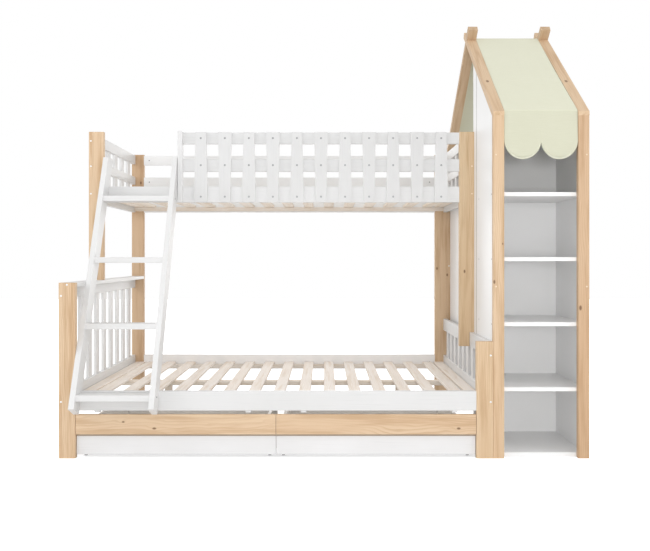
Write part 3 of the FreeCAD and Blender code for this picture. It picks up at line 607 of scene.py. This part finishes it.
def turned(name, shape, size, places, direction, material):
    """Round heads of one shape and radius, one at each place."""
    work = bmesh.new()
    turn = Vector((0, 0, 1)).rotation_difference(Vector(direction)).to_matrix()
    for place in places:
        rings = []
        for share, height in shape:
            radius = size * share
            ring = []
            for step in range(HEAD_SEGMENTS):
                angle = 2 * math.pi * step / HEAD_SEGMENTS
                spot = Vector((radius * math.cos(angle), radius * math.sin(angle), height))
                ring.append(work.verts.new(turn @ spot + Vector(place)))
            rings.append(ring)
        for inner, outer in zip(rings, rings[1:]):
            for step in range(HEAD_SEGMENTS):
                after = (step + 1) % HEAD_SEGMENTS
                work.faces.new((inner[step], inner[after], outer[after], outer[step]))
        work.faces.new(rings[-1])
    bmesh.ops.recalc_face_normals(work, faces=work.faces)
    return add_piece(name, smooth_mesh(name, work), material)


def post_caps():
    """Caps over the connector bolts in the posts: white ones, and pale ones nearest the bookcase."""
    white = moulded("white_plastic", CAP_DARK, CAP_LIGHT, CAP_ROUGHNESS)
    pale = moulded("pale_plastic", PALE_CAP_DARK, PALE_CAP_LIGHT, CAP_ROUGHNESS)
    bed_left = low("lower_front_left_post").x + END_BOLT_INSET
    bed_right = high("lower_front_right_post").x - END_BOLT_INSET
    house_left = low("house_front_left_post").x + HOUSE_BOLT_INSET
    house_right = high("house_front_right_post").x - HOUSE_BOLT_INSET
    upper_y = low("upper_front_left_post").y
    back_y = high("back_left_post").y
    rear_y = low("house_rear_left_post").y

    front_caps = [(bed_left, front_y, height) for height in HEAD_BOLT_HEIGHTS]
    front_caps += [(bed_right, front_y, height) for height in FOOT_BOLT_HEIGHTS]
    post_middle = (low("lower_front_left_post").x + high("lower_front_left_post").x) / 2
    front_caps.append((post_middle, front_y, CAP_BOARD_BOLT_HEIGHT))
    front_caps += [(bed_left, upper_y, height) for height in UPPER_BOLT_HEIGHTS]
    front_caps.append((house_left, rear_y, REAR_HOUSE_BOLT_HEIGHT))
    turned("front_bolt_caps", CAP_SHAPE, CAP_RADIUS, front_caps, FORWARD, white)

    pale_caps = [(bed_right, upper_y, height) for height in UPPER_BOLT_HEIGHTS[:2]]
    for height in HOUSE_BOLT_HEIGHTS:
        pale_caps += [(house_left, front_y, height), (house_right, front_y, height)]
    turned("pale_bolt_caps", CAP_SHAPE, PALE_CAP_RADIUS, pale_caps, FORWARD, pale)

    back_caps = []
    for height in HEAD_BOLT_HEIGHTS + UPPER_BOLT_HEIGHTS:
        back_caps.append((bed_left, back_y, height))
    for height in FOOT_BOLT_HEIGHTS + UPPER_BOLT_HEIGHTS:
        back_caps.append((bed_right, back_y, height))
    turned("back_bolt_caps", CAP_SHAPE, CAP_RADIUS, back_caps, BACKWARD, white)


def rail_fasteners(steel):
    """Screws in the pickets and barrel nuts in the back rails."""
    pickets_low = low("guard_pickets")
    pickets_high = high("guard_pickets")
    first = pickets_low.x + PICKET_WIDE / 2
    step = (pickets_high.x - pickets_low.x - PICKET_WIDE) / (PICKET_COUNT - 1)
    screws = []
    for index in range(PICKET_COUNT):
        screws += [(first + step * index, pickets_low.y, height) for height in PICKET_SCREW_HEIGHTS]
    turned("picket_screws", SCREW_SHAPE, PICKET_SCREW_RADIUS, screws, FORWARD, steel)

    nuts = []
    for name in ("lower_back_rail", "upper_back_rail"):
        rail_low = low(name)
        rail_high = high(name)
        middle = (rail_low.z + rail_high.z) / 2
        nuts.append((rail_low.x + BARREL_INSET, rail_low.y, middle))
        nuts.append((rail_high.x - BARREL_INSET, rail_low.y, middle))
    guard_low = low("back_guard_rails")
    guard_high = high("back_guard_rails")
    for height in (guard_low.z + GUARD_RAIL_HEIGHT / 2, guard_high.z - GUARD_RAIL_HEIGHT / 2):
        nuts.append((guard_low.x + BARREL_INSET, guard_low.y, height))
        nuts.append((guard_high.x - BARREL_INSET, guard_low.y, height))
    turned("barrel_nuts", SCREW_SHAPE, BARREL_RADIUS, nuts, FORWARD, steel)


def shelf_screws(steel):
    shelves_low = low("bookcase_shelves")
    shelves_high = high("bookcase_shelves")
    pitch = (shelves_high.z - shelves_low.z - SHELF_THICK) / (SHELF_COUNT - 1)
    spots = []
    for index in range(SHELF_COUNT):
        height = shelves_low.z + SHELF_THICK / 2 + pitch * index
        spots += [(shelves_low.y + depth, height) for depth in SHELF_SCREW_DEPTHS]
    side_screws("left_shelf_screws", low("bookcase_left_panel").x, spots, LEFTWARD, SCREW_RADIUS, steel)
    side_screws("right_shelf_screws", high("bookcase_right_panel").x, spots, RIGHTWARD, SCREW_RADIUS, steel)


def ladder_bolts(steel):
    """Bolts through the legs into the lowest and the highest tread."""
    treads_low = low("ladder_treads")
    treads_high = high("ladder_treads")
    spots = (
        (treads_low.y + TREAD_DEPTH / 2, treads_low.z + TREAD_THICK / 2),
        (treads_high.y - TREAD_DEPTH / 2, treads_high.z - TREAD_THICK / 2),
    )
    side_screws("ladder_right_bolts", high("ladder_right_leg").x, spots, RIGHTWARD, BARREL_RADIUS, steel)
    side_screws("ladder_left_bolts", low("ladder_left_leg").x, spots, LEFTWARD, BARREL_RADIUS, steel)


def side_screws(name, x, spots, direction, radius, steel):
    turned(name, SCREW_SHAPE, radius, [(x, *spot) for spot in spots], direction, steel)


def fasteners():
    zinc = plated("zinc_steel", ZINC_DARK, ZINC_LIGHT, ZINC_ROUGHNESS)
    dark_steel = plated("dark_steel", DARK_STEEL_DARK, DARK_STEEL_LIGHT, DARK_STEEL_ROUGHNESS)
    post_caps()
    rail_fasteners(zinc)
    shelf_screws(zinc)
    ladder_bolts(dark_steel)


def bend(centre_y, centre_z, reach, first, last):
    """Rows of the cloth round a rod, from one angle to another."""
    rows = []
    for step in range(BEND_ROWS + 1):
        angle = first + (last - first) * step / BEND_ROWS
        rows.append((centre_y + reach * math.cos(angle), centre_z + reach * math.sin(angle), 0.0))
    return rows


def cloth_profile(reach):
    """The cloth's line over the rods from the front eave to the rear one, as (y, z, slack)."""
    slope_side = math.pi / 2 + roof_angle
    rows = bend(front_rod_y, eave_z, reach, math.pi, slope_side)
    start = Vector(rows[-1][:2])
    normal = Vector((-math.sin(roof_angle), math.cos(roof_angle)))
    end = Vector((ridge_y, ridge_z)) + reach * normal
    for step in range(1, ROOF_ROWS):
        slack = math.sin(math.pi * step / ROOF_ROWS)
        spot = start.lerp(end, step / ROOF_ROWS) - CLOTH_SAG * slack**2 * normal
        rows.append((spot.x, spot.y, slack))
    rows += bend(ridge_y, ridge_z, reach, slope_side, math.pi / 2)
    mirrored = [(2 * ridge_y - y, z, slack) for y, z, slack in rows[:-1]]
    return rows + mirrored[::-1]


def lobe_columns(left, width):
    """X places and lower ends of the scalloped edge, closer together near the notches."""
    radius = width / (2 * LOBES)
    columns = []
    for lobe in range(LOBES):
        centre = left + radius * (2 * lobe + 1)
        for step in range(LOBE_STEPS + 1):
            if lobe and step == 0:
                continue
            angle = math.pi * step / LOBE_STEPS
            columns.append((centre - radius * math.cos(angle), radius * (1 - math.sin(angle))))
    return columns


def cloth_rows(columns, profile, left, width, bottom):
    """Rows of the strip from the scalloped edge to the rear hem, each point with its place when flat."""
    front_y_line, top, _ = profile[0]
    rear_y_line, rear_top, _ = profile[-1]
    rows = []
    for row in range(VALANCE_ROWS):
        share = row / VALANCE_ROWS
        line = []
        for x, rise in columns:
            z = bottom + rise + (top - bottom - rise) * share
            bow = VALANCE_BOW * (1 - share) ** 2 * math.cos(2 * LOBES * math.pi * (x - left) / width)
            line.append(((x, front_y_line - bow, z), (x, z)))
        rows.append(line)
    travelled = top
    before = profile[0]
    for y, z, slack in profile:
        travelled += math.hypot(y - before[0], z - before[1])
        before = (y, z)
        line = []
        for x, _ in columns:
            ripple = ROOF_RIPPLE * slack * math.sin(ROOF_RIPPLES * math.pi * (x - left) / width)
            line.append(((x, y, z + ripple), (x, travelled)))
        rows.append(line)
    for row in range(1, HEM_ROWS + 1):
        drop = HEM_DROP * row / HEM_ROWS
        rows.append([((x, rear_y_line, rear_top - drop), (x, travelled + drop)) for x, _ in columns])
    return rows, travelled + HEM_DROP - bottom


def cloth():
    """One strip of canvas from the scalloped valance over the ridge to the rear hem."""
    box_low = low("awning")
    left = box_low.x + CLOTH_SIDE_GAP
    width = high("awning").x - box_low.x - 2 * CLOTH_SIDE_GAP
    profile = cloth_profile(ROD_RADIUS + CLOTH_CLEARANCE + CLOTH_THICK)
    columns = lobe_columns(left, width)
    rows, length = cloth_rows(columns, profile, left, width, box_low.z)

    work = bmesh.new()
    uv = work.loops.layers.uv.new("flat")
    grid = [[(work.verts.new(place), flat) for place, flat in line] for line in rows]
    for lower, upper in zip(grid, grid[1:]):
        for index in range(len(columns) - 1):
            corners = (lower[index], lower[index + 1], upper[index + 1], upper[index])
            add_face(work, uv, corners)
    mesh = smooth_mesh("awning_cloth", work)
    canvas = woven("sage_canvas", CANVAS_DARK, CANVAS_LIGHT)
    piece = add_piece("awning_cloth", mesh, canvas)
    shell = piece.modifiers.new("thickness", "SOLIDIFY")
    shell.thickness = CLOTH_THICK
    shell.offset = -1
    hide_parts("awning")

    edging = valance_edge(left, width, box_low.z, profile[0][0])


def add_face(work, uv, corners):
    """A face through corners of (vertex, place when flat)."""
    face = work.faces.new([vertex for vertex, _ in corners])
    for loop, (_, flat) in zip(face.loops, corners):
        loop[uv].uv = flat


def smooth_mesh(name, work):
    mesh = bpy.data.meshes.new(name)
    work.to_mesh(mesh)
    work.free()
    mesh.shade_smooth()
    return mesh


def valance_edge(left, width, bottom, face):
    """Folded binding along the scallops and the stitches that hold it."""
    radius = width / (2 * LOBES)
    level = bottom + radius
    outer = face - BINDING_LIFT
    inner = face + CLOTH_THICK + BINDING_LIFT
    section = (
        (radius - BINDING_WIDTH, outer + BINDING_EDGE_LIFT),
        (radius - BINDING_WIDTH * BINDING_FLAT_SHARE, outer),
        (radius - BINDING_ROUND, outer),
        (radius, (outer + inner) / 2),
        (radius - BINDING_ROUND, inner),
        (radius - BINDING_WIDTH * BINDING_FLAT_SHARE, inner),
        (radius - BINDING_WIDTH, inner - BINDING_EDGE_LIFT),
    )
    binding = bmesh.new()
    uv = binding.loops.layers.uv.new("flat")
    stitches = bmesh.new()
    for lobe in range(LOBES):
        centre = left + radius * (2 * lobe + 1)
        lines = []
        for step in range(LOBE_STEPS * 2 + 1):
            angle = math.pi * step / (LOBE_STEPS * 2)
            line = []
            for reach, y in section:
                place = (centre - reach * math.cos(angle), y, level - reach * math.sin(angle))
                line.append((binding.verts.new(place), (reach, radius * angle)))
            lines.append(line)
        for before, after in zip(lines, lines[1:]):
            for index in range(len(section) - 1):
                corners = (before[index], before[index + 1], after[index + 1], after[index])
                add_face(binding, uv, corners)
        add_stitches(stitches, (centre, outer, level), radius - BINDING_WIDTH * SEAM_SHARE)
    light = woven("binding_canvas", CANVAS_LIGHT, BINDING_LIGHT)
    pieces = []
    for name, work in (("awning_binding", binding), ("awning_stitches", stitches)):
        bmesh.ops.recalc_face_normals(work, faces=work.faces)
        pieces.append(add_piece(name, smooth_mesh(name, work), light))
    return pieces


def add_stitches(work, centre, seam):
    """A row of stitches round one lobe."""
    count = int(math.pi * seam / STITCH_PITCH)
    size = Matrix.Diagonal((STITCH_RADIUS, STITCH_RADIUS, STITCH_LENGTH / 2, 1))
    for index in range(count):
        angle = math.pi * (index + 0.5) / count
        spot = Vector(centre) - seam * Vector((math.cos(angle), 0, math.sin(angle)))
        turn = Matrix.Rotation(math.pi / 2 - angle, 4, "Y")
        place = Matrix.Translation(spot) @ turn @ size
        bmesh.ops.create_icosphere(work, subdivisions=1, radius=1, matrix=place)


def studio():
    """White surround, a pale floor that glows so that little shadow shows, and soft lamps."""
    world = bpy.data.worlds.new("studio")
    bpy.context.scene.world = world
    world.use_nodes = True
    links = world.node_tree.links
    background = world.node_tree.nodes["Background"]
    background.inputs["Color"].default_value = (*CLEAR_WHITE, 1)
    path = world.node_tree.nodes.new("ShaderNodeLightPath")
    level = world.node_tree.nodes.new("ShaderNodeMapRange")
    level.inputs["To Min"].default_value = FILL
    level.inputs["To Max"].default_value = 1.0
    links.new(path.outputs["Is Camera Ray"], level.inputs["Value"])
    links.new(level.outputs["Result"], background.inputs["Strength"])

    mesh = bpy.data.meshes.new("floor")
    sides = ((-1, -1), (1, -1), (1, 1), (-1, 1))
    corners = [(FLOOR_REACH * x, FLOOR_REACH * y, FLOOR_Z) for x, y in sides]
    mesh.from_pydata(corners, [], [(0, 1, 2, 3)])
    floor = bpy.data.objects.new("floor", mesh)
    bpy.context.scene.collection.objects.link(floor)
    tree = Tree("studio_floor")
    tree.put(tree.surface.inputs["Base Color"], FLOOR_COLOUR)
    tree.put(tree.surface.inputs["Roughness"], FLOOR_ROUGHNESS)
    glow = tree.add("LightPath", {}, output="Is Camera Ray")
    tree.put(tree.surface.inputs["Emission Color"], CLEAR_WHITE)
    tree.put(tree.surface.inputs["Emission Strength"], tree.math("MULTIPLY", glow, FLOOR_GLOW))
    mesh.materials.append(tree.material)

    for name, place, aim, size, power in LAMPS:
        lamp = bpy.data.lights.new(name, "AREA")
        lamp.size = size
        lamp.energy = power
        holder = bpy.data.objects.new(name, lamp)
        holder.location = place
        holder.rotation_euler = (Vector(aim) - Vector(place)).to_track_quat("-Z", "Y").to_euler()
        bpy.context.scene.collection.objects.link(holder)


def photograph():
    lens = bpy.data.cameras.new("camera")
    lens.sensor_width = SENSOR_WIDTH
    lens.lens = FOCAL_PIXELS * SENSOR_WIDTH / PHOTO_WIDTH
    lens.shift_y = (VANISHING_Y - PHOTO_HEIGHT / 2) / PHOTO_WIDTH
    camera = bpy.data.objects.new("camera", lens)
    camera.location = (CAMERA_X, front_y - CAMERA_DISTANCE, CAMERA_Z)
    camera.rotation_euler = (math.pi / 2, 0, 0)
    bpy.context.scene.collection.objects.link(camera)
    bpy.context.scene.camera = camera
    bpy.context.scene.view_settings.view_transform = "Standard"


dress()
fasteners()
cloth()
studio()
photograph()
